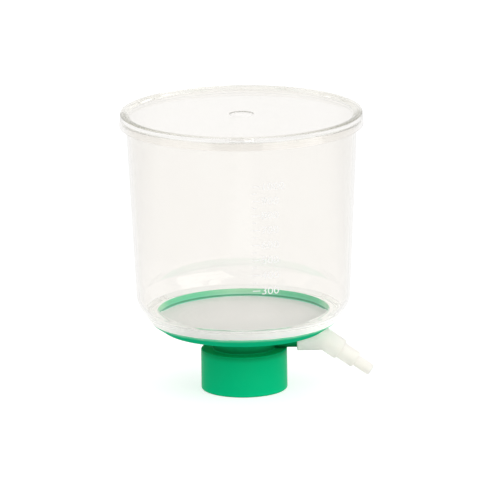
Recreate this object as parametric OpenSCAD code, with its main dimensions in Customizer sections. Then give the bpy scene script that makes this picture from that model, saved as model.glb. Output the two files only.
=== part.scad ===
// Bottle-top vacuum filtration unit: a clear funnel with a lid, a membrane
// disc, a moulded base that screws on a bottle neck, and a stepped hose elbow.
// Millimetres. The origin is on the axis, in the plane of the cap's rim, with
// +Z up and the vacuum port along +X.

/* [Screw cap] */
// Outside diameter of the cap's skirt
cap_d = 48.8; // [47:0.1:60]
// Height of the cap, from its rim to the top of its shoulder
cap_h = 23.3; // [18:0.1:26]
// Wall of the skirt around the thread bore
cap_wall = 1.7; // [1.6:0.05:3]
// Thickness of the shoulder that closes the cap
shoulder_t = 2; // [1.5:0.1:3]
// Bevel on the shoulder's outer edge
cap_bevel = 0.7; // [0.3:0.1:1.2]
// Radius of the rounded edge at the cap's rim
rim_round = 1; // [0.4:0.1:1.2]

/* [Neck gasket] */
// Thickness of the sealing ring
gasket_t = 1.6; // [1:0.1:2.5]
// Radial width of the sealing ring
gasket_w = 6.6; // [4:0.1:7]
// Depth of the undercut that keeps the ring in the cap
gasket_undercut = 0.4; // [0.2:0.05:0.8]

/* [Neck and drip spout] */
// Outside diameter of the neck between the cap and the dish
neck_d = 35; // [30:0.5:40]
// Height of the neck between the shoulder and the dish
neck_h = 11.3; // [10:0.1:20]
// Wall of the neck
neck_wall = 2; // [1.5:0.1:3]
// Outside diameter of the drip spout inside the neck
spout_d = 11; // [9:0.5:14]
// Bore of the drip spout
spout_bore_d = 8; // [6:0.5:8.5]
// Height of the spout's tip above the gasket's sealing face
spout_recess = 0.9; // [0.2:0.1:3]

/* [Vacuum port] */
// Distance from the dish's underside down to the port's axis
port_drop = 7; // [6.8:0.1:8]
// Outside diameter of the port tube
port_d = 8.5; // [7:0.1:9]
// Bore of the port tube
port_bore_d = 5; // [3:0.1:5.5]
// Distance from the neck's axis to the tube's free end
port_reach = 41; // [39:0.5:48]

/* [Filter dish] */
// How far the flange stays inside the funnel's foot
flange_step = 0.9; // [0.2:0.1:1.5]
// Thickness of the flange's edge
flange_t = 1; // [0.8:0.1:2.5]
// Height from the lowest point of the dish's underside to the flange's top
dish_h = 6.2; // [5:0.1:8]
// Width of the slope between the dish's underside and the flange's edge
dish_slope_w = 7; // [5:0.5:8]
// Thickness of the dish's floor
floor_t = 1.8; // [1.2:0.1:2.2]
// Fall of the floor from the rim of the well to the drain
floor_fall = 0.4; // [0.2:0.1:1.2]
// Width of the land that carries the membrane's margin, inside the funnel's mouth
land_w = 2.1; // [1:0.1:4]

/* [Support grid] */
// Number of support rings
ring_n = 9; // [4:1:10]
// Width of each ring
ring_w = 1.3; // [0.8:0.1:2]
// Number of radial drain channels through the rings
channel_n = 8; // [4:1:12]
// Width of each drain channel
channel_w = 2; // [1:0.1:3]

/* [Membrane] */
// Diameter of the membrane disc
membrane_d = 99; // [80:0.5:120]
// Thickness of the membrane and its backing
membrane_t = 0.3; // [0.2:0.05:0.5]
// Width of the membrane's margin that the funnel's foot clamps
membrane_margin = 1.4; // [0.8:0.1:1.6]

/* [Funnel] */
// Width of the foot that is welded to the flange, outside the membrane
foot_w = 3.6; // [2.5:0.1:5]
// Height of the foot's ramp above the clamped membrane, at the bowl
ramp_h = 3.5; // [2:0.1:6]
// Height of the ramp's inner edge above the membrane
ramp_edge_h = 0.25; // [0.1:0.05:1]
// Slope of the bowl's wall from vertical, in degrees
bowl_angle = 33; // [28:0.5:38]
// Height of the corner between the bowl and the wall, above the flange
bowl_h = 10.8; // [8:0.1:20]
// Outside radius of the bend between the bowl and the wall
bend_r = 12; // [6:0.5:20]
// Draft of the wall from vertical, in degrees
wall_draft = 2.7; // [1.5:0.1:3.5]
// Height of the funnel, from the flange to the rim
funnel_h = 116.1; // [70:0.5:150]
// Wall thickness of the funnel
funnel_wall = 2; // [1.5:0.1:2.6]
// How far the lip stands out from the rim
lip_w = 1.3; // [0.6:0.1:1.6]
// Height of the lip
lip_h = 1.8; // [1:0.1:3]

/* [Lid] */
// Depth of the skirt below the lid's panel
skirt_h = 4.4; // [3:0.1:8]
// Wall of the skirt
skirt_wall = 1.5; // [1:0.1:1.8]
// Draft of the skirt's outside, as a change of radius
skirt_draft = 0.7; // [0.2:0.1:0.9]
// Thickness of the lid's panel
panel_t = 1.6; // [1:0.1:2.5]
// Width of the raised stacking bead at the lid's edge
bead_w = 4; // [2.5:0.1:6]
// Height of the bead above the panel
bead_h = 1.5; // [0.6:0.1:2.5]
// Bevel on the bead's outer edge
bead_bevel = 0.5; // [0.2:0.1:0.8]
// Diameter of the vent hole
hole_d = 13; // [4:0.5:20]
// Number of vent nubs that hold the lid off the rim
nub_n = 4; // [3:1:6]
// Width of a vent nub
nub_w = 1.2; // [0.8:0.1:3]
// Height of a vent nub, which is the air gap under the lid
nub_h = 0.5; // [0.3:0.1:1]

/* [Hose adapter] */
// Outside diameter of the sleeve that slips on the port tube
sleeve_d = 12.4; // [11.4:0.1:14]
// Length of the port tube inside the sleeve
sleeve_grip = 11; // [7:0.5:13]
// Distance from the end of the port tube to the corner of the elbow
elbow_lead = 5; // [3:0.5:10]
// Angle of the tail below the horizontal, in degrees
tail_angle = 35.5; // [20:0.5:45]
// Extra radius of the ball at the elbow's corner, over the tubes that meet there
corner_proud = 0.2; // [0.1:0.05:0.6]
// Diameters of the tail's three steps, widest first
step_d = [12.5, 9.8, 6.7];
// Length of each step along the tail
step_l = 10.5; // [8:0.5:14]
// Bevel at the outer end of each step
step_bevel = 0.5; // [0.2:0.1:0.8]
// Bore of the adapter's passage
passage_d = 4.2; // [2.5:0.1:4.8]

/* [Clearances] */
// Radial clearance of the swivel between the port tube and the sleeve
swivel_gap = 0.05; // [0.02:0.01:0.09]
// Radial clearance around the membrane in the foot's recess
membrane_gap = 0.3; // [0.1:0.05:0.4]
// Radial clearance of the gasket in its undercut
gasket_gap = 0.1; // [0.05:0.05:0.3]
// Radial clearance between the funnel's lip and the lid's skirt
lid_gap = 0.1; // [0.1:0.05:0.6]

/* [Hidden] */
$fn = 96;

// Overlap that makes cuts and joined shapes cross cleanly
eps = 0.5;
// Share of a wall's thickness that a shape joined to it is sunk into it
sink = 0.5;
// Segments of the funnel's bend and of the cap's rounded edge
bend_n = 12;
round_n = 4;

// Heights, from the cap's rim upward
bore_h = cap_h - shoulder_t - gasket_t;
gasket_z = bore_h;
spout_z = gasket_z + spout_recess;
dish_z = cap_h + neck_h;
flange_z = dish_z + dish_h;
port_z = dish_z - port_drop;
rim_z = flange_z + funnel_h;
panel_z = rim_z + nub_h;

// Radii
cap_r = cap_d / 2;
bore_r = cap_r - cap_wall;
undercut_r = bore_r + gasket_undercut;
neck_r = neck_d / 2;
spout_r = spout_d / 2;
spout_bore_r = spout_bore_d / 2;
membrane_r = membrane_d / 2;
mouth_r = membrane_r - membrane_margin;
recess_r = membrane_r + membrane_gap;
foot_r = recess_r + foot_w;
flange_r = foot_r - flange_step;
dish_r = flange_r - dish_slope_w;
well_r = mouth_r - land_w;
rim_r = foot_r + bowl_h * tan(bowl_angle) + (funnel_h - bowl_h) * tan(wall_draft);
lip_r = rim_r + lip_w;
lid_top_r = lip_r + lid_gap + skirt_wall;
lid_r = lid_top_r + skirt_draft;
port_r = port_d / 2;
sleeve_bore_r = port_r + swivel_gap;
passage_r = passage_d / 2;
sleeve_start = port_reach - sleeve_grip;
elbow_x = port_reach + elbow_lead;

// Pitch of the support rings, from the drain to the edge of the well
ring_pitch = (well_r - spout_bore_r) / (ring_n + 1);

// Points of an arc about c, from angle a0 to a1, in n segments
function arc(c, r, a0, a1, n) =
    [for (i = [0:n]) c + r * [cos(a0 + (a1 - a0) * i / n), sin(a0 + (a1 - a0) * i / n)]];

// Funnel: corner where the bowl's cone would meet the wall's cone, outside
bowl_corner = [foot_r + bowl_h * tan(bowl_angle), flange_z + bowl_h];
// Centre of the bend, inward of that corner on the line that halves it
bend_mid = (bowl_angle + wall_draft) / 2;
bend_half = (bowl_angle - wall_draft) / 2;
bend_c = bowl_corner - bend_r / cos(bend_half) * [cos(bend_mid), -sin(bend_mid)];
// Radial wall of the funnel at the rim and at the bowl
rim_inner_r = rim_r - funnel_wall / cos(wall_draft);
bowl_foot_r = foot_r - funnel_wall / cos(bowl_angle);
// Top of the foot's ramp, on the bowl's inner face
clamp_z = flange_z + membrane_t;
ramp_z = clamp_z + ramp_h;
ramp_r = bowl_foot_r + (ramp_z - flange_z) * tan(bowl_angle);

module funnel_profile() {
    polygon(concat(
        [[foot_r, flange_z]],
        arc(bend_c, bend_r, -bowl_angle, -wall_draft, bend_n),
        [
            [rim_r - lip_h * tan(wall_draft), rim_z - lip_h],
            [lip_r, rim_z - lip_h],
            [lip_r, rim_z],
            [rim_inner_r, rim_z],
        ],
        arc(bend_c, bend_r - funnel_wall, -wall_draft, -bowl_angle, bend_n),
        [
            [ramp_r, ramp_z],
            [mouth_r, clamp_z + ramp_edge_h],
            [mouth_r, clamp_z],
            [recess_r, clamp_z],
            [recess_r, flange_z],
        ]
    ));
}

module funnel() {
    color([0.95, 0.96, 0.96, 0.35])
        rotate_extrude() funnel_profile();
}

// Half section of the lid: panel, stacking bead and drafted skirt
module lid_profile() {
    skirt_z = panel_z - skirt_h;
    panel_top = panel_z + panel_t;
    bead_top = panel_top + bead_h;
    polygon([
        [hole_d / 2, panel_z],
        [lid_top_r - skirt_wall, panel_z],
        [lid_r - skirt_wall, skirt_z],
        [lid_r, skirt_z],
        [lid_top_r, bead_top - bead_bevel],
        [lid_top_r - bead_bevel, bead_top],
        [lid_top_r - bead_w + bead_h, bead_top],
        [lid_top_r - bead_w, panel_top],
        [hole_d / 2, panel_top],
    ]);
}

module lid() {
    // A nub spans the rim's full width and stops inside the skirt
    nub_l = lip_r - rim_inner_r;
    color([0.95, 0.96, 0.96, 0.35]) {
        rotate_extrude() lid_profile();
        for (i = [0:nub_n - 1])
            rotate([0, 0, 90 + i * 360 / nub_n])
                translate([rim_inner_r, -nub_w / 2, rim_z])
                    cube([nub_l, nub_w, nub_h + panel_t * sink]);
    }
}

module membrane() {
    color([0.88, 0.88, 0.87])
        translate([0, 0, flange_z]) cylinder(r = membrane_r, h = membrane_t);
}

// Outside of the cap, neck and dish as one turned form
module base_outside() {
    rotate_extrude() polygon(concat(
        [[0, 0]],
        arc([cap_r - rim_round, rim_round], rim_round, -90, 0, round_n),
        [
            [cap_r, cap_h - cap_bevel],
            [cap_r - cap_bevel, cap_h],
            [neck_r, cap_h],
            [neck_r, dish_z],
            [dish_r, dish_z + floor_fall],
            [flange_r, flange_z - flange_t],
            [flange_r, flange_z],
            [0, flange_z],
        ]
    ));
}

// Space under the neck: thread bore, gasket undercut and vacuum chamber,
// turned around the drip spout, which stays
module base_inside() {
    chamber_r = neck_r - neck_wall;
    rotate_extrude() polygon([
        [0, -eps],
        [bore_r, -eps],
        [bore_r, bore_h],
        [undercut_r, bore_h],
        [undercut_r, bore_h + gasket_t],
        [chamber_r, bore_h + gasket_t],
        [chamber_r, dish_z],
        [spout_r, dish_z],
        [spout_r, spout_z],
        [0, spout_z],
    ]);
}

// Conical well in the dish, down to the floor
module well() {
    rotate_extrude() polygon([
        [0, dish_z + floor_t],
        [spout_bore_r, dish_z + floor_t],
        [well_r, dish_z + floor_t + floor_fall],
        [well_r, flange_z + eps],
        [0, flange_z + eps],
    ]);
}

// Concentric rings that carry the membrane, cut by radial drain channels
module support_grid() {
    difference() {
        for (i = [1:ring_n]) {
            r = spout_bore_r + i * ring_pitch;
            translate([0, 0, dish_z + floor_t * sink])
                difference() {
                    cylinder(r = r + ring_w / 2, h = dish_h - floor_t * sink);
                    translate([0, 0, -eps])
                        cylinder(r = r - ring_w / 2, h = dish_h + 2 * eps);
                }
        }
        for (i = [0:channel_n - 1])
            rotate([0, 0, i * 360 / channel_n])
                translate([0, -channel_w / 2, 0])
                    cube([well_r, channel_w, flange_z + eps]);
    }
}

module port_tube() {
    translate([neck_r - neck_wall * sink, 0, port_z])
        rotate([0, 90, 0])
            cylinder(r = port_r, h = port_reach - neck_r + neck_wall * sink);
}

module base() {
    color([0.0, 0.64, 0.42])
        difference() {
            union() {
                difference() {
                    base_outside();
                    base_inside();
                    well();
                }
                port_tube();
                support_grid();
            }
            translate([0, 0, spout_z - eps])
                cylinder(r = spout_bore_r, h = dish_h + dish_z);
            translate([(spout_r + neck_r - neck_wall) / 2, 0, port_z])
                rotate([0, 90, 0])
                    cylinder(d = port_bore_d, h = port_reach);
        }
}

module neck_gasket() {
    gasket_r = undercut_r - gasket_gap;
    color([0.93, 0.93, 0.9])
        translate([0, 0, gasket_z])
            difference() {
                cylinder(r = gasket_r, h = gasket_t);
                translate([0, 0, -eps])
                    cylinder(r = gasket_r - gasket_w, h = gasket_t + 2 * eps);
            }
}

// A cylinder of radius r from s0 to s1 along the tail, from the elbow's corner
module tail_cylinder(r, s0, s1, bevel = 0) {
    translate([elbow_x, 0, port_z])
        rotate([0, 90 + tail_angle, 0])
            rotate_extrude() polygon([
                [0, s0],
                [r, s0],
                [r, s1 - bevel],
                [r - bevel, s1],
                [0, s1],
            ]);
}

// Rounds the elbow's corner where two tubes of radius r meet
module corner_ball(r) {
    translate([elbow_x, 0, port_z])
        rotate([0, 90, 0]) sphere(r = r + corner_proud);
}

module hose_adapter() {
    sleeve_r = sleeve_d / 2;
    step_r = step_d / 2;
    color([0.87, 0.9, 0.86, 0.85])
        difference() {
            union() {
                translate([sleeve_start, 0, port_z])
                    rotate([0, 90, 0])
                        cylinder(r = sleeve_r, h = elbow_x - sleeve_start);
                corner_ball(max(sleeve_r, step_r[0]));
                for (i = [0:len(step_d) - 1])
                    tail_cylinder(step_r[i], max(0, i * step_l - eps), (i + 1) * step_l, step_bevel);
            }
            translate([sleeve_start - eps, 0, port_z])
                rotate([0, 90, 0])
                    cylinder(r = sleeve_bore_r, h = port_reach - sleeve_start + eps);
            translate([sleeve_start, 0, port_z])
                rotate([0, 90, 0])
                    cylinder(r = passage_r, h = elbow_x - sleeve_start);
            corner_ball(passage_r);
            tail_cylinder(passage_r, 0, len(step_d) * step_l + eps);
        }
}

base();
neck_gasket();
membrane();
funnel();
lid();
hose_adapter();
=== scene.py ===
"""Looks of the bottle-top vacuum filtration unit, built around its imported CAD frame.

Lengths are in metres, in the frame's axes: +Z up the unit's axis, +X along the
vacuum port, and the camera on the -Y side.
"""

import math
import random

import bpy
from mathutils import Matrix, Quaternion, Vector


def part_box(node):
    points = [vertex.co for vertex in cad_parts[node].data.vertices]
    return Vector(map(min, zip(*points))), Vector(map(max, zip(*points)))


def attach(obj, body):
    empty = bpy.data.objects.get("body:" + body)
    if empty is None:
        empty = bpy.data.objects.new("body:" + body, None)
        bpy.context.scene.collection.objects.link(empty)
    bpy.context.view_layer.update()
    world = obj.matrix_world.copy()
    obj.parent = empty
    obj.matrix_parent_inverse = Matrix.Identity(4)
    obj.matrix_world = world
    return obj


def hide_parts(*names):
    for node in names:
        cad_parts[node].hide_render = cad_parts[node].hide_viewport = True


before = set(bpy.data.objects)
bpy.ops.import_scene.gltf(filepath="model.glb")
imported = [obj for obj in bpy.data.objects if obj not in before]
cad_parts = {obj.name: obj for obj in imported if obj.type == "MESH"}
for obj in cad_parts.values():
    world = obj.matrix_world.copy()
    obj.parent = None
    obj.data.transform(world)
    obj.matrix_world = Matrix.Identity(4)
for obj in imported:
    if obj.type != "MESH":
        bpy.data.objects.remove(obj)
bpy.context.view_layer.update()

MM = 0.001
BODY = "filter"
ADAPTER = "adapter"

# Room left between two faces that touch, so that each shows as its own
SEAM = 0.02 * MM

# ---------------------------------------------------------------- sizes
# Heights and radii that the frame gives
FLANGE_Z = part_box("funnel")[0].z
RIM_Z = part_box("funnel")[1].z
LIP_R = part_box("funnel")[1].x
MEMBRANE_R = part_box("membrane")[1].x
CLAMP_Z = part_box("membrane")[1].z
SKIRT_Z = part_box("lid")[0].z
LID_TOP_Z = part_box("lid")[1].z
LID_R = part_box("lid")[1].x
GASKET_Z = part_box("neck_gasket")[0].z
GASKET_TOP_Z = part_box("neck_gasket")[1].z
GASKET_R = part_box("neck_gasket")[1].x
FLANGE_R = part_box("base")[1].y
SLEEVE_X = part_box("hose_adapter")[0].x

# Funnel
FOOT_R = FLANGE_R + 0.9 * MM
RECESS_R = MEMBRANE_R + 0.3 * MM
MOUTH_R = MEMBRANE_R - 1.4 * MM
RAMP_EDGE_H = 0.25 * MM
RAMP_H = 5.0 * MM
RAMP_W = 0.6 * MM
SHOULDER_RISE = 1.0 * MM
BOWL_H = 10.8 * MM
BOWL_ANGLE = math.radians(33)
WALL_DRAFT = math.radians(2.7)
BEND_R = 12 * MM
FUNNEL_WALL = 2 * MM
LIP_W = 1.3 * MM
LIP_H = 1.8 * MM

# Lid
NUB_H = 0.5 * MM
NUB_W = 1.2 * MM
NUB_N = 4
PANEL_Z = RIM_Z + NUB_H
PANEL_T = 1.6 * MM
BEAD_W = 2.8 * MM
BEAD_SLOPE_W = 2.2 * MM
HOLE_R = 6.5 * MM
HOLE_ROUND = 0.55 * MM
SKIRT_WALL = 1.5 * MM
SKIRT_DRAFT = 0.7 * MM
PANEL_TOP_Z = PANEL_Z + PANEL_T

# Base
CAP_R = 24.4 * MM
CAP_H = 23.3 * MM
BORE_R = 22.7 * MM
NECK_R = 17.5 * MM
CHAMBER_R = 15.5 * MM
SPOUT_R = 5.5 * MM
SPOUT_BORE_R = 4 * MM
SPOUT_Z = GASKET_Z + 0.9 * MM
DISH_R = 45.5 * MM
DISH_Z = 34.6 * MM
FLOOR_FALL = 0.4 * MM
FLOOR_Z = DISH_Z + 1.8 * MM
WELL_R = MOUTH_R - 2.1 * MM
FLANGE_T = 1 * MM
RING_N = 9
RING_W = 1.3 * MM
RING_SINK = 0.5 * MM
RING_PITCH = (WELL_R - SPOUT_BORE_R) / (RING_N + 1)
CHANNEL_N = 8
CHANNEL_W = 2 * MM
PORT_Z = 27.6 * MM
PORT_R = 4.25 * MM
PORT_BORE_R = 2.5 * MM
PORT_X = 41 * MM
PORT_SINK = 0.5 * MM

# Thread in the cap
THREAD_Z = 5 * MM
THREAD_PITCH = 4 * MM
THREAD_TURNS = 2.2
THREAD_H = 1.3 * MM
THREAD_W = 2.6 * MM

# Neck gasket and membrane
GASKET_W = 6.6 * MM
GASKET_GAP = 0.1 * MM
MEMBRANE_SAG = 0.1 * MM

# Weld between the funnel's foot and the flange
WELD_MARGIN = 0.1 * MM
WELD_EDGE = 0.5 * MM
FLASH_R = 0.32 * MM
FLASH_DROP = 0.1 * MM

# Hose adapter
SLEEVE_R = 6.2 * MM
SLEEVE_GAP = 0.05 * MM
ADAPTER_EDGE = 0.5 * MM
ELBOW_X = 46 * MM
TAIL_ANGLE = math.radians(35.5)
STEP_R = [6.25 * MM, 4.9 * MM, 3.35 * MM]
STEP_L = 10.5 * MM
PASSAGE_R = 2.1 * MM

# Graduations: volumes in cubic metres, then the marks as they are printed
MARK_STEP = 50e-6
FIRST_MARK = 6
LAST_MARK = 20
MARK_TURN = math.radians(5)
PRINT_T = 0.03 * MM
TICK_W = 0.5 * MM
TICK_LONG = 4.2 * MM
TICK_SHORT = 2.4 * MM
NUMBER_H = 4.3 * MM
NUMBER_STRETCH = 1.15
NUMBER_X = 4.8 * MM
NUMBER_DROP = 2.1 * MM

# Segments around a turned piece and along a wound or bent one
AROUND = 256
AROUND_CLEAR = 1024
AROUND_FLASH = 720
AROUND_ADAPTER = 96
AROUND_PORT = 64
THREAD_STEPS = 220
TICK_COLUMNS = 8

# Angle of one step along an arc
ARC_STEP = math.radians(12)

# Edges steeper than this stay sharp
SHARP = math.radians(40)

# Refractive index of polystyrene
CLEAR_IOR = 1.585

# Painted light and shade on the green, as shares of its brightness by height in mm: a little
# brighter toward the cap's foot, a painted shadow of the flange over the cap's top, painted
# shade on the neck, and the dish painted brighter
PAINTED_GREEN_SHADE = [
    (0.5, 1.12), (4, 1.03), (12, 1.0), (18.5, 0.98), (20.2, 0.94), (21.3, 0.82), (22.7, 0.64),
    (23.2, 1.0), (24, 0.38), (25, 0.42), (26.5, 0.64), (28, 0.78), (32.5, 0.81), (34.8, 1.22)]

# ---------------------------------------------------------------- mesh tools


def add_mesh(name, vertices, faces, material, body=BODY, smooth=True):
    """A piece from vertices and faces, with its material, riding on a CAD body."""
    mesh = bpy.data.meshes.new(name)
    mesh.from_pydata(vertices, [], faces)
    mesh.validate()
    mesh.materials.append(material)
    piece = bpy.data.objects.new(name, mesh)
    bpy.context.scene.collection.objects.link(piece)
    if smooth:
        mesh.shade_smooth()
        mesh.set_sharp_from_angle(angle=SHARP)
        level = piece.modifiers.new("flat faces stay flat", "WEIGHTED_NORMAL")
        level.keep_sharp = True
    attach(piece, body)
    return piece


def rounded(corners):
    """Closed outline from (x, y, radius) corners, as arcs where the radius isn't 0."""
    outline = []
    for i, (x, y, radius) in enumerate(corners):
        corner = Vector((x, y))
        if radius == 0:
            outline.append(corner)
            continue
        back = (Vector(corners[i - 1][:2]) - corner).normalized()
        ahead = (Vector(corners[(i + 1) % len(corners)][:2]) - corner).normalized()
        half = back.angle(ahead) / 2
        centre = corner + (back + ahead).normalized() * radius / math.sin(half)
        first = corner + back * radius / math.tan(half) - centre
        last = corner + ahead * radius / math.tan(half) - centre
        sweep = first.angle_signed(last)
        steps = max(2, math.ceil(abs(sweep) / ARC_STEP))
        for k in range(steps + 1):
            outline.append(centre + Matrix.Rotation(-sweep * k / steps, 2) @ first)
    return outline


def lathe_mesh(outline, around=AROUND):
    """Vertices and faces of the closed outline of (r, z) points turned about Z.

    A point on the axis becomes one vertex, where the faces end as triangles.
    """
    vertices, faces, rings = [], [], []
    for r, z in outline:
        start = len(vertices)
        if r < SEAM:
            vertices.append((0, 0, z))
            rings.append([start] * around)
            continue
        for k in range(around):
            turn = 2 * math.pi * k / around
            vertices.append((r * math.cos(turn), r * math.sin(turn), z))
        rings.append(list(range(start, start + around)))
    for i, ring in enumerate(rings):
        above = rings[(i + 1) % len(rings)]
        for k in range(around):
            n = (k + 1) % around
            corners = [ring[k], ring[n], above[n], above[k]]
            face = [c for j, c in enumerate(corners) if c != corners[j - 1]]
            if len(face) > 2:
                faces.append(face)
    return vertices, faces


def box_mesh(low, high):
    """Vertices and faces of an upright box."""
    vertices = [(x, y, z) for z in (low[2], high[2]) for x, y in
                ((low[0], low[1]), (high[0], low[1]), (high[0], high[1]), (low[0], high[1]))]
    faces = [(3, 2, 1, 0), (4, 5, 6, 7)]
    faces += [(k, (k + 1) % 4, (k + 1) % 4 + 4, k + 4) for k in range(4)]
    return vertices, faces


def joined(*parts):
    """Several (vertices, faces) as one."""
    vertices, faces = [], []
    for part_vertices, part_faces in parts:
        shift = len(vertices)
        vertices += part_vertices
        faces += [[v + shift for v in face] for face in part_faces]
    return vertices, faces


def turned(part, angle):
    """(vertices, faces) turned about Z."""
    turn = Matrix.Rotation(angle, 3, "Z")
    return [tuple(turn @ Vector(v)) for v in part[0]], part[1]


# ---------------------------------------------------------------- materials


def new_material(name, **sockets):
    """A Principled material and its node tree, with values on the shader's sockets."""
    material = bpy.data.materials.new(name)
    material.use_nodes = True
    shader = material.node_tree.nodes["Principled BSDF"]
    for socket, value in sockets.items():
        shader.inputs[socket.replace("_", " ")].default_value = value
    return material, material.node_tree, shader


def noise(tree, scale, detail=3.0, stretch=(1, 1, 1)):
    """A noise texture in object space; scale is the number of cells per metre."""
    place = tree.nodes.new("ShaderNodeTexCoord")
    mapping = tree.nodes.new("ShaderNodeMapping")
    mapping.inputs["Scale"].default_value = stretch
    texture = tree.nodes.new("ShaderNodeTexNoise")
    texture.inputs["Scale"].default_value = scale
    texture.inputs["Detail"].default_value = detail
    tree.links.new(place.outputs["Object"], mapping.inputs["Vector"])
    tree.links.new(mapping.outputs["Vector"], texture.inputs["Vector"])
    return texture.outputs["Fac"]


def position(tree, axis, space="Object"):
    """One coordinate of the point being shaded, in the frame's axes.

    In a world, the Generated space gives the direction looked at instead.
    """
    place = tree.nodes.new("ShaderNodeTexCoord")
    split = tree.nodes.new("ShaderNodeSeparateXYZ")
    tree.links.new(place.outputs[space], split.inputs[0])
    return split.outputs[axis]


def span(tree, value, start, end, low=0.0, high=1.0):
    """A value mapped from start..end onto low..high, and held at the ends."""
    spread = tree.nodes.new("ShaderNodeMapRange")
    spread.inputs["From Min"].default_value = start
    spread.inputs["From Max"].default_value = end
    spread.inputs["To Min"].default_value = low
    spread.inputs["To Max"].default_value = high
    tree.links.new(value, spread.inputs["Value"])
    return spread.outputs["Result"]


def combine(tree, operation, first, second=None):
    """A maths node on one or two values; a number may stand for the second."""
    node = tree.nodes.new("ShaderNodeMath")
    node.operation = operation
    tree.links.new(first, node.inputs[0])
    if isinstance(second, float):
        node.inputs[1].default_value = second
    elif second is not None:
        tree.links.new(second, node.inputs[1])
    return node.outputs[0]


def off_centre(tree):
    """Distance of the point being shaded from the unit's middle plane, along X."""
    return combine(tree, "ABSOLUTE", position(tree, "X"))


def colour_ramp(tree, factor, stops):
    """The colour at a factor along (place, colour) stops, held at the ends."""
    ramp = tree.nodes.new("ShaderNodeValToRGB")
    elements = ramp.color_ramp.elements
    first, *inner, last = stops
    for element, (place, colour) in zip(elements, (first, last)):
        element.position = place
        element.color = (*colour, 1)
    for place, colour in inner:
        elements.new(place).color = (*colour, 1)
    tree.links.new(factor, ramp.inputs["Fac"])
    return ramp.outputs["Color"]


def mix_colour(tree, factor, colour, fixed, blend="MIX"):
    """A colour blended by a factor with a fixed one."""
    mix = tree.nodes.new("ShaderNodeMix")
    mix.data_type = "RGBA"
    mix.blend_type = blend
    mix.inputs["B"].default_value = (*fixed, 1)
    tree.links.new(factor, mix.inputs["Factor"])
    tree.links.new(colour, mix.inputs["A"])
    return mix.outputs["Result"]


def vary_colour(tree, shader, factor, dark, light):
    """Drives the base colour between two colours by a factor."""
    colour = colour_ramp(tree, factor, [(0.3, dark), (0.7, light)])
    tree.links.new(colour, shader.inputs["Base Color"])


def vary_roughness(tree, shader, factor, low, high):
    """Drives the roughness between two values by a factor."""
    tree.links.new(span(tree, factor, 0, 1, low, high), shader.inputs["Roughness"])


def add_bump(tree, shader, height, depth):
    """Bumps the normal by a height map whose full range is depth, in metres."""
    bump = tree.nodes.new("ShaderNodeBump")
    bump.inputs["Strength"].default_value = 1
    bump.inputs["Distance"].default_value = depth
    tree.links.new(height, bump.inputs["Height"])
    tree.links.new(bump.outputs["Normal"], shader.inputs["Normal"])


def let_lamps_through(tree, shader, tint):
    """Lets shadow rays pass with a tint, so that clear walls cast no hard shadow."""
    rays = tree.nodes.new("ShaderNodeLightPath")
    clear = tree.nodes.new("ShaderNodeBsdfTransparent")
    clear.inputs["Color"].default_value = (*tint, 1)
    mix = tree.nodes.new("ShaderNodeMixShader")
    tree.links.new(rays.outputs["Is Shadow Ray"], mix.inputs["Fac"])
    tree.links.new(shader.outputs["BSDF"], mix.inputs[1])
    tree.links.new(clear.outputs["BSDF"], mix.inputs[2])
    tree.links.new(mix.outputs["Shader"], tree.nodes["Material Output"].inputs["Surface"])


def glassy_finish(tree, shader):
    """The near-perfect gloss of moulded polystyrene, through which the lamps shine."""
    vary_roughness(tree, shader, noise(tree, 40), 0.0, 0.01)
    let_lamps_through(tree, shader, (0.96, 0.955, 0.945))


def clear_polystyrene(name, dark, light, waviness):
    """Glossy clear plastic between two warm tints, with the slight waviness of moulding."""
    material, tree, shader = new_material(name, Transmission_Weight=1.0, IOR=CLEAR_IOR)
    flow = noise(tree, 55, detail=1.5, stretch=(1, 1, 0.35))
    vary_colour(tree, shader, flow, dark, light)
    glassy_finish(tree, shader)
    add_bump(tree, shader, flow, waviness)
    return material


def thick_polystyrene():
    """The lid's bead, pale-tinted, with painted shade that darkens it in front toward both
    sides, where light runs along inside it.
    """
    material, tree, shader = new_material(
        "clear polystyrene, bead", Transmission_Weight=1.0, IOR=CLEAR_IOR)
    sides = span(tree, off_centre(tree), 8 * MM, 54 * MM)
    front = span(tree, position(tree, "Y"), 6 * MM, -6 * MM)
    painted_shade = combine(tree, "MULTIPLY", sides, front)
    # Painted shade: the bead's tint darkens in front toward both sides
    pale, dark = (0.88, 0.86, 0.79), (0.37, 0.36, 0.29)
    colour = colour_ramp(tree, painted_shade, [(0, pale), (1, dark)])
    tree.links.new(colour, shader.inputs["Base Color"])
    glassy_finish(tree, shader)
    return material


def deep_green(level):
    """The moulding's green at a painted light level, a share of its full brightness, less blue
    where it is painted dark.
    """
    green = 0.54 * level
    blue_share = 0.25 + 0.165 * level
    return 0, green, green * blue_share


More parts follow.
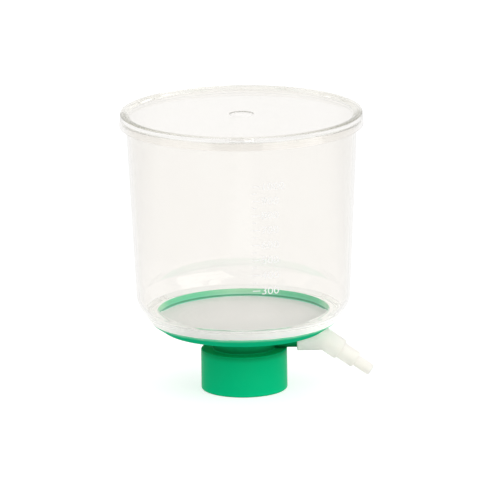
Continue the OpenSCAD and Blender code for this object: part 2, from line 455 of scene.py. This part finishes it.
def green_polypropylene():
    """Green moulding with painted light and shade by height: satin, with a matt cap top and a
    pale flange edge.
    """
    material, tree, shader = new_material(
        "green polypropylene", Specular_IOR_Level=0.02, IOR=1.49)
    height = position(tree, "Z")
    painted_levels = [(mm * MM / FLANGE_Z, deep_green(level)) for mm, level in PAINTED_GREEN_SHADE]
    # Painted shade and light by height make up the base colour here
    depth = colour_ramp(tree, span(tree, height, 0, FLANGE_Z), painted_levels)
    flange = span(tree, height, FLANGE_Z - 2.4 * MM, FLANGE_Z - 0.4 * MM)
    patches = span(tree, noise(tree, 140), 0.35, 0.65, 0.5, 1.0)
    edge = combine(tree, "MULTIPLY", flange, patches)
    blush = combine(tree, "MULTIPLY", noise(tree, 90), 0.016)
    paler = combine(tree, "MAXIMUM", edge, blush)
    pale_green = (0.34, 0.84, 0.57)
    colour = mix_colour(tree, paler, depth, pale_green)
    tree.links.new(colour, shader.inputs["Base Color"])
    satin = span(tree, noise(tree, 900), 0, 1, 0.2, 0.28)
    matt = span(tree, height, CAP_H - 0.5 * MM, CAP_H - 0.2 * MM, 0, 0.75)
    tree.links.new(combine(tree, "MAXIMUM", satin, matt), shader.inputs["Roughness"])
    add_bump(tree, shader, noise(tree, 1500, detail=2), 0.003 * MM)
    return material


def milky_polyethylene():
    """Pale waxy moulding, clearer at the tail, with a painted glow that stands in for the light
    inside it, stronger at the sleeve in the flange's shade.
    """
    material, tree, shader = new_material(
        "milky polyethylene", Specular_IOR_Level=0.3, IOR=1.51, Emission_Color=(1, 1, 0.94, 1))
    vary_colour(tree, shader, noise(tree, 160), (0.915, 0.895, 0.86), (0.94, 0.915, 0.885))
    outward = position(tree, "X")
    sleeve_x, tail_x = 36 * MM, 48 * MM
    clearness = span(tree, outward, sleeve_x, tail_x, 0.1, 0.55)
    # Painted glow: self-lighting, stronger at the sleeve in the flange's shade
    glow = span(tree, outward, sleeve_x, tail_x, 0.11, 0.055)
    tree.links.new(clearness, shader.inputs["Transmission Weight"])
    tree.links.new(glow, shader.inputs["Emission Strength"])
    vary_roughness(tree, shader, noise(tree, 1200), 0.5, 0.6)
    add_bump(tree, shader, noise(tree, 700, detail=2), 0.01 * MM)
    let_lamps_through(tree, shader, (0.8, 0.82, 0.76))
    return material


def filter_membrane():
    """Matt off-white sheet with a faint, uneven tone."""
    material, tree, shader = new_material("filter membrane", Specular_IOR_Level=0.1)
    vary_colour(tree, shader, noise(tree, 60), (0.925, 0.93, 0.915), (0.95, 0.955, 0.94))
    vary_roughness(tree, shader, noise(tree, 2500), 0.85, 0.95)
    add_bump(tree, shader, noise(tree, 4000, detail=4), 0.01 * MM)
    return material


def gasket_rubber():
    """Off-white soft ring."""
    material, tree, shader = new_material("gasket rubber", Specular_IOR_Level=0.3)
    vary_colour(tree, shader, noise(tree, 300), (0.78, 0.78, 0.74), (0.82, 0.82, 0.78))
    vary_roughness(tree, shader, noise(tree, 1500), 0.55, 0.7)
    return material


def white_ink():
    """Opaque printed marks, with a faint painted glow that stands in for the light coming
    through the wall.
    """
    material, tree, shader = new_material(
        "white ink", Specular_IOR_Level=0.02, Emission_Color=(1, 0.99, 0.97, 1),
        Emission_Strength=0.055)
    vary_colour(tree, shader, noise(tree, 3000), (0.86, 0.855, 0.84), (0.90, 0.895, 0.88))
    vary_roughness(tree, shader, noise(tree, 2500), 0.4, 0.55)
    return material


def weld_white():
    """Whitened plastic in the foot, with a painted glow, stronger toward both sides, that stands
    in for the light the clear wall brings it.
    """
    material, tree, shader = new_material(
        "weld white", Specular_IOR_Level=0.3, Emission_Color=(1, 1, 0.97, 1))
    # Painted glow, stronger toward both sides
    painted_glow = span(tree, off_centre(tree), 30 * MM, 46 * MM, 0.12, 0.3)
    tree.links.new(painted_glow, shader.inputs["Emission Strength"])
    vary_colour(tree, shader, noise(tree, 300), (0.90, 0.92, 0.90), (0.95, 0.96, 0.94))
    vary_roughness(tree, shader, noise(tree, 2500), 0.4, 0.55)
    return material


def ramp_green():
    """The flange's green as it shows through the ramp, painted on a lining, with a painted
    highlight along the lower edge and a painted shadow along the seam.

    The colour follows the height along the ramp and is painted deeper toward both sides, but not
    at the foot's ends.
    """
    material, tree, shader = new_material("green behind the ramp", Specular_IOR_Level=0.3)
    # Painted highlight at the ramp's lower edge, then a painted shadow along the seam, then the
    # green seen through the ramp
    painted_seam_shadow = (0.005, 0.38, 0.18)
    bands = [
        (0, (0.72, 0.96, 0.84)),
        (0.08, (0.66, 0.95, 0.80)),
        (0.11, painted_seam_shadow),
        (0.30, painted_seam_shadow),
        (0.34, (0.40, 0.83, 0.60)),
        (0.5, (0.33, 0.75, 0.46)),
        (1, (0.36, 0.78, 0.48)),
    ]
    height = span(tree, position(tree, "Z"), CLAMP_Z + RAMP_EDGE_H, CLAMP_Z + RAMP_H)
    # Painted shade, deeper toward both sides but not at the foot's ends
    aside = off_centre(tree)
    shaded_sides = span(tree, aside, 5 * MM, 25 * MM)
    before_ends = span(tree, aside, 46.5 * MM, 43 * MM)
    depth = combine(tree, "MULTIPLY", shaded_sides, before_ends)
    side_shade_tint = (0.32, 0.88, 0.74)
    colour = mix_colour(tree, depth, colour_ramp(tree, height, bands), side_shade_tint, "MULTIPLY")
    tree.links.new(colour, shader.inputs["Base Color"])
    vary_roughness(tree, shader, noise(tree, 900), 0.25, 0.4)
    return material


def weld_plastic():
    """Whitened plastic squeezed out of the weld."""
    material, tree, shader = new_material(
        "weld plastic", Transmission_Weight=0.5, IOR=1.55)
    vary_colour(tree, shader, noise(tree, 500), (0.55, 0.80, 0.66), (0.93, 0.97, 0.94))
    vary_roughness(tree, shader, noise(tree, 1800), 0.25, 0.5)
    let_lamps_through(tree, shader, (0.8, 0.9, 0.85))
    return material


CLEAR = clear_polystyrene(
    "clear polystyrene",
    dark=(0.955, 0.94, 0.915), light=(0.965, 0.952, 0.93), waviness=0.003 * MM)
PANEL = clear_polystyrene(
    "clear polystyrene, flat",
    dark=(0.96, 0.945, 0.92), light=(0.97, 0.955, 0.935), waviness=0.002 * MM)
BEAD = thick_polystyrene()
# Painted shade: a dark tint on the rounded edge of the lid's hole, for the dark arc that light
# leaves there
SHADED_HOLE_EDGE = clear_polystyrene(
    "clear polystyrene, hole edge",
    dark=(0.36, 0.35, 0.31), light=(0.42, 0.41, 0.37), waviness=0.002 * MM)
GREEN = green_polypropylene()
MILKY = milky_polyethylene()
SHEET = filter_membrane()
RUBBER = gasket_rubber()
INK = white_ink()
WELD_WHITE = weld_white()
WELD = weld_plastic()
RAMP_GREEN = ramp_green()

# ---------------------------------------------------------------- funnel and lid


def funnel_corners():
    """Half section of the funnel: up the outer side from the foot, then down the inside."""
    bowl_r = FOOT_R + BOWL_H * math.tan(BOWL_ANGLE)
    bowl_z = FLANGE_Z + BOWL_H
    middle = (BOWL_ANGLE + WALL_DRAFT) / 2
    inset = FUNNEL_WALL / math.cos((BOWL_ANGLE - WALL_DRAFT) / 2)
    inner_r = bowl_r - inset * math.cos(middle)
    inner_z = bowl_z + inset * math.sin(middle)
    rim_r = LIP_R - LIP_W
    shoulder_z = CLAMP_Z + RAMP_H + SHOULDER_RISE
    shoulder_r = FOOT_R - FUNNEL_WALL / math.cos(BOWL_ANGLE)
    shoulder_r += (shoulder_z - FLANGE_Z) * math.tan(BOWL_ANGLE)
    return [
        (FOOT_R, FLANGE_Z - SEAM, 0.25 * MM),
        (bowl_r, bowl_z, BEND_R),
        (rim_r - LIP_H * math.tan(WALL_DRAFT), RIM_Z - LIP_H, 0.3 * MM),
        (LIP_R, RIM_Z - LIP_H, 0.4 * MM),
        (LIP_R, RIM_Z, 0.5 * MM),
        (rim_r - FUNNEL_WALL / math.cos(WALL_DRAFT), RIM_Z, 0.5 * MM),
        (inner_r, inner_z, BEND_R - FUNNEL_WALL),
        (shoulder_r, shoulder_z, 0.6 * MM),
        (MOUTH_R + RAMP_W, CLAMP_Z + RAMP_H, 0.12 * MM),
        (MOUTH_R, CLAMP_Z + RAMP_EDGE_H, 0.08 * MM),
        (MOUTH_R, CLAMP_Z - 2 * SEAM, 0),
        (RECESS_R, CLAMP_Z - 2 * SEAM, 0),
        (RECESS_R, FLANGE_Z - SEAM, 0),
    ]


def section_radius(outline, z):
    """Radius at a height of a run of (r, z) points that rises."""
    for low, high in zip(outline, outline[1:]):
        if low.y <= z <= high.y and high.y > low.y:
            return low.x + (high.x - low.x) * (z - low.y) / (high.y - low.y)
    return outline[-1].x


def funnel():
    """The clear funnel, in one turned shell."""
    piece = add_mesh("funnel_shell", *lathe_mesh(rounded(funnel_corners()), AROUND_CLEAR), CLEAR)
    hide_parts("funnel")


def lid_corners():
    """Half section of the lid: panel, stacking bead and drafted skirt."""
    top_r = LID_R - SKIRT_DRAFT
    return [
        (HOLE_R, PANEL_Z, 0.25 * MM),
        (top_r - SKIRT_WALL, PANEL_Z, 0.4 * MM),
        (LID_R - SKIRT_WALL, SKIRT_Z, 0.25 * MM),
        (LID_R, SKIRT_Z, 0.4 * MM),
        (top_r, LID_TOP_Z, 0.7 * MM),
        (top_r - BEAD_W, LID_TOP_Z, 0.8 * MM),
        (top_r - BEAD_W - BEAD_SLOPE_W, PANEL_TOP_Z, 0.8 * MM),
        (HOLE_R, PANEL_TOP_Z, HOLE_ROUND),
    ]


def lid():
    """The clear lid with the nubs that hold it off the rim, in three tones of plastic: clear,
    and painted shade on the bead and on the hole's edge.
    """
    inner_r = LIP_R - LIP_W - FUNNEL_WALL / math.cos(WALL_DRAFT)
    nub = box_mesh((inner_r, -NUB_W / 2, RIM_Z + SEAM), (LIP_R, NUB_W / 2, PANEL_Z + SEAM))
    nubs = [turned(nub, 2 * math.pi / NUB_N * i) for i in range(NUB_N)]
    shell = lathe_mesh(rounded(lid_corners()), AROUND_CLEAR)
    piece = add_mesh("lid_shell", *joined(shell, *nubs), PANEL)
    piece.data.materials.append(BEAD)
    piece.data.materials.append(SHADED_HOLE_EDGE)
    bead_slot, hole_slot = 1, 2
    for face in piece.data.polygons:
        x, y, z = face.center
        in_hole = math.hypot(x, y) < HOLE_R + HOLE_ROUND
        if z > PANEL_TOP_Z + SEAM:
            face.material_index = bead_slot
        elif in_hole and z > PANEL_TOP_Z + SEAM - HOLE_ROUND:
            face.material_index = hole_slot
    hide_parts("lid")


# ---------------------------------------------------------------- base


def base_corners():
    """Half section of the base: up the outer side, then down the well and the inside."""
    return [
        (BORE_R, 0, 0.2 * MM),
        (CAP_R, 0, 1 * MM),
        (CAP_R, CAP_H, 0.8 * MM),
        (NECK_R, CAP_H, 0.8 * MM),
        (NECK_R, DISH_Z, 0.8 * MM),
        (DISH_R, DISH_Z + FLOOR_FALL, 1.5 * MM),
        (FLANGE_R, FLANGE_Z - FLANGE_T, 0.3 * MM),
        (FLANGE_R, FLANGE_Z, 0.3 * MM),
        (WELL_R, FLANGE_Z, 0.2 * MM),
        (WELL_R, FLOOR_Z + FLOOR_FALL, 0.5 * MM),
        (SPOUT_BORE_R, FLOOR_Z, 0.4 * MM),
        (SPOUT_BORE_R, SPOUT_Z, 0.3 * MM),
        (SPOUT_R, SPOUT_Z, 0.3 * MM),
        (SPOUT_R, DISH_Z, 0.6 * MM),
        (CHAMBER_R, DISH_Z, 0.6 * MM),
        (CHAMBER_R, GASKET_TOP_Z + SEAM, 0.3 * MM),
        (GASKET_R + GASKET_GAP, GASKET_TOP_Z + SEAM, 0.2 * MM),
        (GASKET_R + GASKET_GAP, GASKET_Z, 0),
        (BORE_R, GASKET_Z, 0.15 * MM),
    ]


def arc_bar(r, width, low, high, start, end):
    """A bar of the support grid along an arc."""
    steps = max(2, math.ceil((end - start) / ARC_STEP))
    vertices, faces = [], []
    for k in range(steps + 1):
        turn = start + (end - start) * k / steps
        for side, z in ((-1, low), (1, low), (1, high), (-1, high)):
            at = r + side * width / 2
            vertices.append((at * math.cos(turn), at * math.sin(turn), z))
    for k in range(steps):
        for j in range(4):
            n = (j + 1) % 4
            faces.append((4 * k + j, 4 * k + n, 4 * k + 4 + n, 4 * k + 4 + j))
    faces += [(3, 2, 1, 0), tuple(range(4 * steps, 4 * steps + 4))]
    return vertices, faces


def support_grid():
    """Concentric rings under the membrane, cut by radial drain channels."""
    sector = 2 * math.pi / CHANNEL_N
    bars = []
    for i in range(1, RING_N + 1):
        r = SPOUT_BORE_R + i * RING_PITCH
        gap = math.asin(CHANNEL_W / 2 / r)
        for k in range(CHANNEL_N):
            bars.append(arc_bar(r, RING_W, FLOOR_Z - RING_SINK, FLANGE_Z,
                                sector * k + gap, sector * (k + 1) - gap))
    return joined(*bars)


def port_tube():
    """The vacuum port's tube, turned and laid along X."""
    start = CHAMBER_R + PORT_SINK
    outline = rounded([
        (PORT_BORE_R, start, 0),
        (PORT_R, start, 0),
        (PORT_R, PORT_X, 0.4 * MM),
        (PORT_BORE_R, PORT_X, 0.3 * MM),
    ])
    vertices, faces = lathe_mesh(outline, AROUND_PORT)
    return [(z, y, PORT_Z - x) for x, y, z in vertices], faces


def base():
    """The green base: cap, neck, dish and port, in one colour of plastic."""
    parts = joined(lathe_mesh(rounded(base_corners())), support_grid(), port_tube())
    piece = add_mesh("base_moulding", *parts, GREEN)
    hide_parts("base")


def thread_ridge():
    """The thread inside the cap: a rounded ridge that fades in and out."""
    # Depth and rise of the section's points, in shares of the ridge's height and width;
    # the two points with a depth above 0 lie in the cap's wall
    section = [(0.3, -0.5), (-0.35, -0.42), (-0.85, -0.2), (-1, 0), (-0.85, 0.2),
               (-0.35, 0.42), (0.3, 0.5)]
    fade_ends = 12
    vertices, faces = [], []
    for k in range(THREAD_STEPS + 1):
        along = k / THREAD_STEPS
        turn = 2 * math.pi * THREAD_TURNS * along
        fade = min(1, fade_ends * along, fade_ends * (1 - along))
        z = THREAD_Z + THREAD_PITCH * THREAD_TURNS * along
        for depth, rise in section:
            r = BORE_R + depth * THREAD_H * (fade if depth < 0 else 1)
            vertices.append((r * math.cos(turn), r * math.sin(turn), z + rise * THREAD_W))
    count = len(section)
    for k in range(THREAD_STEPS):
        here, there = k * count, (k + 1) * count
        for j in range(count):
            n = (j + 1) % count
            faces.append((here + j, here + n, there + n, there + j))
    last = THREAD_STEPS * count
    faces += [tuple(range(count))[::-1], tuple(range(last, last + count))]
    piece = add_mesh("thread_ridge", vertices, faces, GREEN)


def neck_gasket():
    """The soft ring between the cap and the bottle's rim."""
    inner_r = GASKET_R - GASKET_W
    outline = rounded([
        (inner_r, GASKET_Z, 0.3 * MM),
        (GASKET_R, GASKET_Z, 0.3 * MM),
        (GASKET_R, GASKET_TOP_Z, 0.3 * MM),
        (inner_r, GASKET_TOP_Z, 0.3 * MM),
    ])
    piece = add_mesh("gasket_ring", *lathe_mesh(outline), RUBBER)
    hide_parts("neck_gasket")


def membrane():
    """The membrane, which sags a little between the rings that carry it."""
    rows = 8 * (RING_N + 1)
    top = []
    for i in range(rows + 1):
        r = WELL_R * i / rows
        dip = 0
        if r < WELL_R:
            dip = MEMBRANE_SAG * math.sin(math.pi * (r - SPOUT_BORE_R) / RING_PITCH) ** 2
        top.append(Vector((r, CLAMP_Z - SEAM - dip)))
    outline = [Vector((0, FLANGE_Z))] + top
    outline += [Vector((MEMBRANE_R, CLAMP_Z - SEAM)), Vector((MEMBRANE_R, FLANGE_Z))]
    piece = add_mesh("membrane_sheet", *lathe_mesh(outline[::-1]), SHEET)
    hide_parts("membrane")


def ramp_lining(name, low, high, margin, material):
    """A thin ring along the foot's ramp, between two depths measured out of its face.

    Only its face toward the axis has the material. The others are whitened.
    """
    inner = Vector((MOUTH_R, CLAMP_Z + RAMP_EDGE_H))
    outer = Vector((MOUTH_R + RAMP_W, CLAMP_Z + RAMP_H))
    along = (outer - inner).normalized()
    out = Vector((-along.y, along.x))
    start, end = inner, outer - along * margin
    outline = [start + out * low, end + out * low, end + out * high, start + out * high]
    piece = add_mesh(name, *lathe_mesh(outline), material)
    piece.data.materials.append(WELD_WHITE)
    white_slot = 1
    for face in piece.data.polygons:
        x, y, _ = face.center
        faces_axis = face.normal.dot(Vector((x, y, 0)).normalized()) < -0.5
        if not faces_axis:
            face.material_index = white_slot


def weld_line():
    """The whitened ring of plastic where the foot is welded onto the flange."""
    inner, outer = RECESS_R + WELD_MARGIN, FOOT_R - WELD_EDGE
    low, high = FLANGE_Z + SEAM, FLANGE_Z + 3 * SEAM
    outline = [Vector(p) for p in ((inner, low), (outer, low), (outer, high), (inner, high))]
    piece = add_mesh("weld_line", *lathe_mesh(outline), WELD_WHITE)


def weld_flash():
    """The uneven bead of plastic squeezed out between the funnel's foot and the flange."""
    seeded = random.Random(7)
    waves = [(seeded.randint(3, 60), seeded.uniform(0, 2 * math.pi), seeded.random())
             for _ in range(14)]
    across = 8
    # Radius of the bead in shares of its largest
    mean, swing, least = 0.35, 0.3, 0.12
    vertices, faces = [], []
    for k in range(AROUND_FLASH):
        turn = 2 * math.pi * k / AROUND_FLASH
        swell = sum(size * math.sin(rate * turn + phase) for rate, phase, size in waves)
        radius = FLASH_R * min(1.0, max(least, mean + swing * swell))
        for j in range(across):
            lean = 2 * math.pi * j / across
            r = FLANGE_R + radius * math.cos(lean)
            z = FLANGE_Z - FLASH_DROP + radius * math.sin(lean)
            vertices.append((r * math.cos(turn), r * math.sin(turn), z))
    for k in range(AROUND_FLASH):
        here, there = k * across, (k + 1) % AROUND_FLASH * across
        for j in range(across):
            n = (j + 1) % across
            faces.append((here + j, there + j, there + n, here + n))
    piece = add_mesh("weld_flash", vertices, faces, WELD)


# ---------------------------------------------------------------- hose adapter


def elbow_rings():
    """Centre, rising direction and radius of each of the elbow's rings.

    They run along its outside from the sleeve's mouth to the tail's end, and back along
    its bore.
    """
    corner = Vector((ELBOW_X, 0, PORT_Z))
    along = Vector((math.cos(TAIL_ANGLE), 0, -math.sin(TAIL_ANGLE)))
    across = Vector((math.sin(TAIL_ANGLE), 0, math.cos(TAIL_ANGLE)))
    half = TAIL_ANGLE / 2
    mitre = Vector((math.sin(half), 0, math.cos(half))) / math.cos(half)
    edge = ADAPTER_EDGE

    def sleeve_ring(x, r):
        return Vector((x, 0, PORT_Z)), Vector((0, 0, 1)), r

    def tail_ring(s, r):
        return corner + along * s, across, r

    rings = [sleeve_ring(SLEEVE_X, SLEEVE_R - edge), sleeve_ring(SLEEVE_X + edge, SLEEVE_R)]
    rings.append((corner, mitre, SLEEVE_R))
    for i, r in enumerate(STEP_R):
        end = (i + 1) * STEP_L
        if i > 0:
            rings.append(tail_ring(i * STEP_L + edge / 2, r))
        rings += [tail_ring(end - edge, r), tail_ring(end, r - edge)]
    rings += [tail_ring(len(STEP_R) * STEP_L, PASSAGE_R), (corner, mitre, PASSAGE_R)]
    stop_x = PORT_X + 2 * SEAM
    bore_r = PORT_R + SLEEVE_GAP
    rings += [sleeve_ring(stop_x, PASSAGE_R), sleeve_ring(stop_x, bore_r)]
    rings.append(sleeve_ring(SLEEVE_X, bore_r))
    return rings


def hose_adapter():
    """The stepped elbow: its rings joined in order, and the last to the first."""
    rings = elbow_rings()
    around = AROUND_ADAPTER
    vertices, faces = [], []
    for centre, rise, r in rings:
        for k in range(around):
            turn = 2 * math.pi * k / around
            side = Vector((0, math.cos(turn), 0))
            vertices.append(tuple(centre + r * (side + rise * math.sin(turn))))
    for i in range(len(rings)):
        here, there = i * around, (i + 1) % len(rings) * around
        for k in range(around):
            n = (k + 1) % around
            faces.append((here + k, here + n, there + n, there + k))
    piece = add_mesh("hose_elbow", vertices, faces, MILKY, ADAPTER)
    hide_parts("hose_adapter")


# ---------------------------------------------------------------- graduations


def fill_heights(volumes):
    """Heights at which the funnel holds these rising volumes, in cubic metres."""
    outline = rounded(funnel_corners())
    top = max(range(len(outline)), key=lambda i: (outline[i].y, -outline[i].x))
    inner = [p for p in outline[top:] if p.y >= CLAMP_Z + RAMP_EDGE_H][::-1]
    step = 0.1 * MM
    z = CLAMP_Z + RAMP_EDGE_H
    held = 0
    heights = []
    for volume in volumes:
        while held < volume:
            held += math.pi * section_radius(inner, z) ** 2 * step
            z += step
        heights.append(z)
    return heights


def number_mesh(text):
    """A plain number as a mesh, lower left corner at the origin, in the XY plane."""
    size_per_height = 1.4
    curve = bpy.data.curves.new("number", "FONT")
    curve.body = text
    curve.size = NUMBER_H * size_per_height
    curve.extrude = PRINT_T / 2
    curve.resolution_u = 4
    source = bpy.data.objects.new("number", curve)
    mesh = bpy.data.meshes.new_from_object(source)
    vertices = [tuple(v.co) for v in mesh.vertices]
    faces = [list(p.vertices) for p in mesh.polygons]
    bpy.data.objects.remove(source)
    bpy.data.curves.remove(curve)
    bpy.data.meshes.remove(mesh)
    return vertices, faces


def tick_mesh(length):
    """A flat tick in short columns, so that it can follow the wall."""
    vertices = [(length * i / TICK_COLUMNS, v, w)
                for i in range(TICK_COLUMNS + 1)
                for v in (-TICK_W / 2, TICK_W / 2)
                for w in (-PRINT_T / 2, PRINT_T / 2)]
    faces = []
    for i in range(TICK_COLUMNS):
        a, b = 4 * i, 4 * i + 4
        faces += [(a + 1, b + 1, b, a), (a + 2, b + 2, b + 3, a + 3),
                  (a, b, b + 2, a + 2), (a + 3, b + 3, b + 1, a + 1)]
    last = 4 * TICK_COLUMNS
    faces += [(2, 3, 1, 0), (last, last + 1, last + 3, last + 2)]
    return vertices, faces


def mark_mesh(volume):
    """A short tick, or a long one with its number in millilitres."""
    if round(volume / MARK_STEP) % 2:
        return tick_mesh(TICK_SHORT)
    vertices, faces = number_mesh(str(round(volume * 1e6)))
    placed = [(x * NUMBER_STRETCH + NUMBER_X, y - NUMBER_DROP, w) for x, y, w in vertices]
    return joined(tick_mesh(TICK_LONG), (placed, faces))


def wrapped(part, outline, z):
    """A flat (vertices, faces) laid on the wall that the outline describes, at a height."""
    vertices = []
    for u, v, w in part[0]:
        r = section_radius(outline, z + v) + PRINT_T + w
        turn = MARK_TURN + u / r - math.pi / 2
        vertices.append((r * math.cos(turn), r * math.sin(turn), z + v))
    return vertices, part[1]


def graduations():
    """White ticks every 50 ml and plain numbers every 100 ml on the funnel's front."""
    outline = rounded(funnel_corners())
    top = max(range(len(outline)), key=lambda i: outline[i].y)
    volumes = [MARK_STEP * i for i in range(FIRST_MARK, LAST_MARK + 1)]
    marks = [wrapped(mark_mesh(volume), outline[:top], z)
             for volume, z in zip(volumes, fill_heights(volumes))]
    piece = add_mesh("graduations", *joined(*marks), INK, smooth=False)


funnel()
lid()
base()
thread_ridge()
neck_gasket()
membrane()
# A lining painted with the green seen through the ramp, with a painted highlight and a painted
# shadow
ramp_lining("ramp_tint", low=-0.05 * MM, high=0.03 * MM, margin=0.13 * MM,
            material=RAMP_GREEN)
ramp_lining("ramp_backing", low=-0.12 * MM, high=-0.06 * MM, margin=0.1 * MM,
            material=WELD_WHITE)
weld_line()
weld_flash()
hose_adapter()
graduations()

# ---------------------------------------------------------------- floor, light, camera
# Brightness of the floor as a surface, and the glow that the camera sees
FLOOR_MATT = 0.55
FLOOR_GLOW = 0.64

# Share of that glow in gloss and glass, which falls from near the unit to far from it
NEAR_X, FAR_X = 75 * MM, 110 * MM
NEAR_SHARE, FAR_SHARE = 0.73, 0.6

# Brightness of the surroundings as light, and in gloss and glass by the Y of the direction:
# dim behind the camera and white in front of it
WORLD_LIGHT = 0.9
BACK_Y, FRONT_Y = -0.9, 0.1
BACK_SHOWN, FRONT_SHOWN = 0.5, 1.0

# What the lamps are aimed at
LAMP_TARGET = (0, 0, 80 * MM)

# Most turns of a light path through the clear walls, and through their shadows
CLEAR_BOUNCES = 96
SHADOW_BOUNCES = 32


def floor_material():
    """Matt grey that the camera, gloss and glass see as white."""
    material = bpy.data.materials.new("floor")
    material.use_nodes = True
    tree = material.node_tree
    tree.nodes.clear()
    rays = tree.nodes.new("ShaderNodeLightPath").outputs
    share = span(tree, off_centre(tree), NEAR_X, FAR_X, NEAR_SHARE, FAR_SHARE)
    in_glass = combine(tree, "MAXIMUM", rays["Is Glossy Ray"], rays["Is Transmission Ray"])
    dimmed = combine(tree, "MULTIPLY", in_glass, share)
    shown = combine(tree, "MAXIMUM", rays["Is Camera Ray"], dimmed)
    strength = combine(tree, "MULTIPLY", shown, FLOOR_GLOW)
    matt = tree.nodes.new("ShaderNodeBsdfDiffuse")
    matt.inputs["Color"].default_value = (FLOOR_MATT, FLOOR_MATT, FLOOR_MATT, 1)
    glow = tree.nodes.new("ShaderNodeEmission")
    tree.links.new(strength, glow.inputs["Strength"])
    add = tree.nodes.new("ShaderNodeAddShader")
    tree.links.new(matt.outputs[0], add.inputs[0])
    tree.links.new(glow.outputs[0], add.inputs[1])
    output = tree.nodes.new("ShaderNodeOutputMaterial")
    tree.links.new(add.outputs[0], output.inputs["Surface"])
    return material


def make_floor():
    """White floor that keeps the unit's faint shadow."""
    half = 3.0
    mesh = bpy.data.meshes.new("floor")
    mesh.from_pydata([(-half, -half, 0), (half, -half, 0), (half, half, 0), (-half, half, 0)],
                     [], [(0, 1, 2, 3)])
    mesh.materials.append(floor_material())
    floor = bpy.data.objects.new("floor", mesh)
    floor.location.z = -SEAM
    bpy.context.scene.collection.objects.link(floor)


def make_world():
    """Even light, and white surroundings in gloss and glass that darken behind the camera."""
    world = bpy.data.worlds.new("surroundings")
    bpy.context.scene.world = world
    world.use_nodes = True
    tree = world.node_tree
    rays = tree.nodes.new("ShaderNodeLightPath").outputs
    direction = position(tree, "Y", "Generated")
    shown = span(tree, direction, BACK_Y, FRONT_Y, BACK_SHOWN, FRONT_SHOWN)
    pick = tree.nodes.new("ShaderNodeMix")
    pick.inputs["B"].default_value = WORLD_LIGHT
    tree.links.new(rays["Is Diffuse Ray"], pick.inputs["Factor"])
    tree.links.new(shown, pick.inputs["A"])
    background = tree.nodes["Background"]
    background.inputs["Color"].default_value = (1, 1, 1, 1)
    tree.links.new(pick.outputs["Result"], background.inputs["Strength"])


def add_softbox(name, place, size, power):
    """A rectangular lamp, with its power in watts, aimed at the unit."""
    lamp = bpy.data.lights.new(name, "AREA")
    lamp.shape = "RECTANGLE"
    lamp.size, lamp.size_y = size
    lamp.energy = power
    light = bpy.data.objects.new(name, lamp)
    light.location = place
    aim = Vector(LAMP_TARGET) - Vector(place)
    light.rotation_euler = aim.to_track_quat("-Z", "Y").to_euler()
    bpy.context.scene.collection.objects.link(light)


def make_camera():
    """A long lens looking slightly down, with a small roll."""
    distance = 5.0
    elevation = math.radians(13.6)
    roll = math.radians(-0.66)
    view_width = 0.2825
    target = Vector((4 * MM, 0, 80 * MM))
    data = bpy.data.cameras.new("camera")
    data.sensor_width = 36
    data.lens = data.sensor_width * distance / view_width
    data.clip_start = 0.1
    data.clip_end = 100
    camera = bpy.data.objects.new("camera", data)
    bpy.context.scene.collection.objects.link(camera)
    back = Vector((0, -math.cos(elevation), math.sin(elevation)))
    camera.location = target + back * distance
    look = Quaternion(back, roll) @ (-back).to_track_quat("-Z", "Y")
    camera.rotation_euler = look.to_euler()
    bpy.context.scene.camera = camera


make_floor()
make_world()
add_softbox("key", place=(1.5, -1.2, 1.0), size=(2.6, 2.0), power=20)
add_softbox("fill", place=(-1.4, -1.0, 0.9), size=(2.0, 2.0), power=4.5)
make_camera()

scene = bpy.context.scene
scene.view_settings.view_transform = "Standard"
scene.cycles.max_bounces = CLEAR_BOUNCES
scene.cycles.transmission_bounces = CLEAR_BOUNCES
scene.cycles.glossy_bounces = CLEAR_BOUNCES
scene.cycles.transparent_max_bounces = SHADOW_BOUNCES
